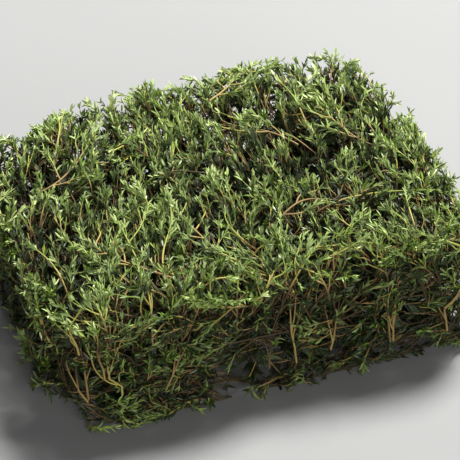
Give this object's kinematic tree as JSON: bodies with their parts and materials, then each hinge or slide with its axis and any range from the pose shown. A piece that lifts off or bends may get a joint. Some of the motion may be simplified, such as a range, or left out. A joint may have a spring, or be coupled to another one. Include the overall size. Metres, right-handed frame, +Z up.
{
  "type": "thyme bundle",
  "caption": "Broad heap of cut leafy thyme sprigs that lean back in rows, with loose sprigs along its front, back and crown; it rests on a flat surface.",
  "frame": {"origin": "centre of the bottom of the heap's bounding box", "axes": "+X along the heap's width, +Y from its front to its back, +Z up"},
  "size_m": [0.2791, 0.2254, 0.1058],
  "materials": {
    "crown_leaves": "matte leaf green over tan and olive stems",
    "front_leaves": "matte leaf green over tan and olive stems",
    "cross_leaves": "matte leaf green over tan and olive stems",
    "row_leaves": "matte leaf green over tan and olive stems",
    "back_leaves": "matte leaf green over tan and olive stems"
  },
  "bodies": {
    "root": {"back_sprig_1_left": "back_leaves", "back_sprig_1_right": "back_leaves", "back_sprig_2_left": "back_leaves", "back_sprig_2_right": "back_leaves", "back_sprig_3_left": "back_leaves", "back_sprig_3_right": "back_leaves", "cross_sprig_1_right": "cross_leaves", "cross_sprig_2_left": "cross_leaves", "cross_sprig_2_right": "cross_leaves", "cross_sprig_3_left": "cross_leaves", "cross_sprig_3_right": "cross_leaves", "crown_sprig_01": "crown_leaves", "crown_sprig_02": "crown_leaves", "crown_sprig_03": "crown_leaves", "crown_sprig_04": "crown_leaves", "crown_sprig_05": "crown_leaves", "crown_sprig_06": "crown_leaves", "crown_sprig_07": "crown_leaves", "crown_sprig_08": "crown_leaves", "front_sprig_1_left": "front_leaves", "front_sprig_1_right": "front_leaves", "front_sprig_2_left": "front_leaves", "front_sprig_2_right": "front_leaves", "front_sprig_3_left": "front_leaves", "front_sprig_3_right": "front_leaves", "front_sprig_4_left": "front_leaves", "row_01_left_sprig": "row_leaves", "row_01_middle_sprig": "row_leaves", "row_01_right_sprig": "row_leaves", "row_02_left_sprig": "row_leaves", "row_02_middle_sprig": "row_leaves", "row_02_right_sprig": "row_leaves", "row_03_left_sprig": "row_leaves", "row_03_middle_sprig": "row_leaves", "row_03_right_sprig": "row_leaves", "row_04_left_sprig": "row_leaves", "row_04_middle_sprig": "row_leaves", "row_04_right_sprig": "row_leaves", "row_05_left_sprig": "row_leaves", "row_05_middle_sprig": "row_leaves", "row_05_right_sprig": "row_leaves", "row_06_left_sprig": "row_leaves", "row_06_middle_sprig": "row_leaves", "row_06_right_sprig": "row_leaves", "row_07_left_sprig": "row_leaves", "row_07_middle_sprig": "row_leaves", "row_07_right_sprig": "row_leaves", "row_08_left_sprig": "row_leaves", "row_08_middle_sprig": "row_leaves", "row_08_right_sprig": "row_leaves", "row_09_left_sprig": "row_leaves", "row_09_middle_sprig": "row_leaves", "row_09_right_sprig": "row_leaves", "row_10_left_sprig": "row_leaves", "row_10_middle_sprig": "row_leaves", "row_10_right_sprig": "row_leaves", "row_11_left_sprig": "row_leaves", "row_11_middle_sprig": "row_leaves", "row_11_right_sprig": "row_leaves"}
  },
  "joints": []
}
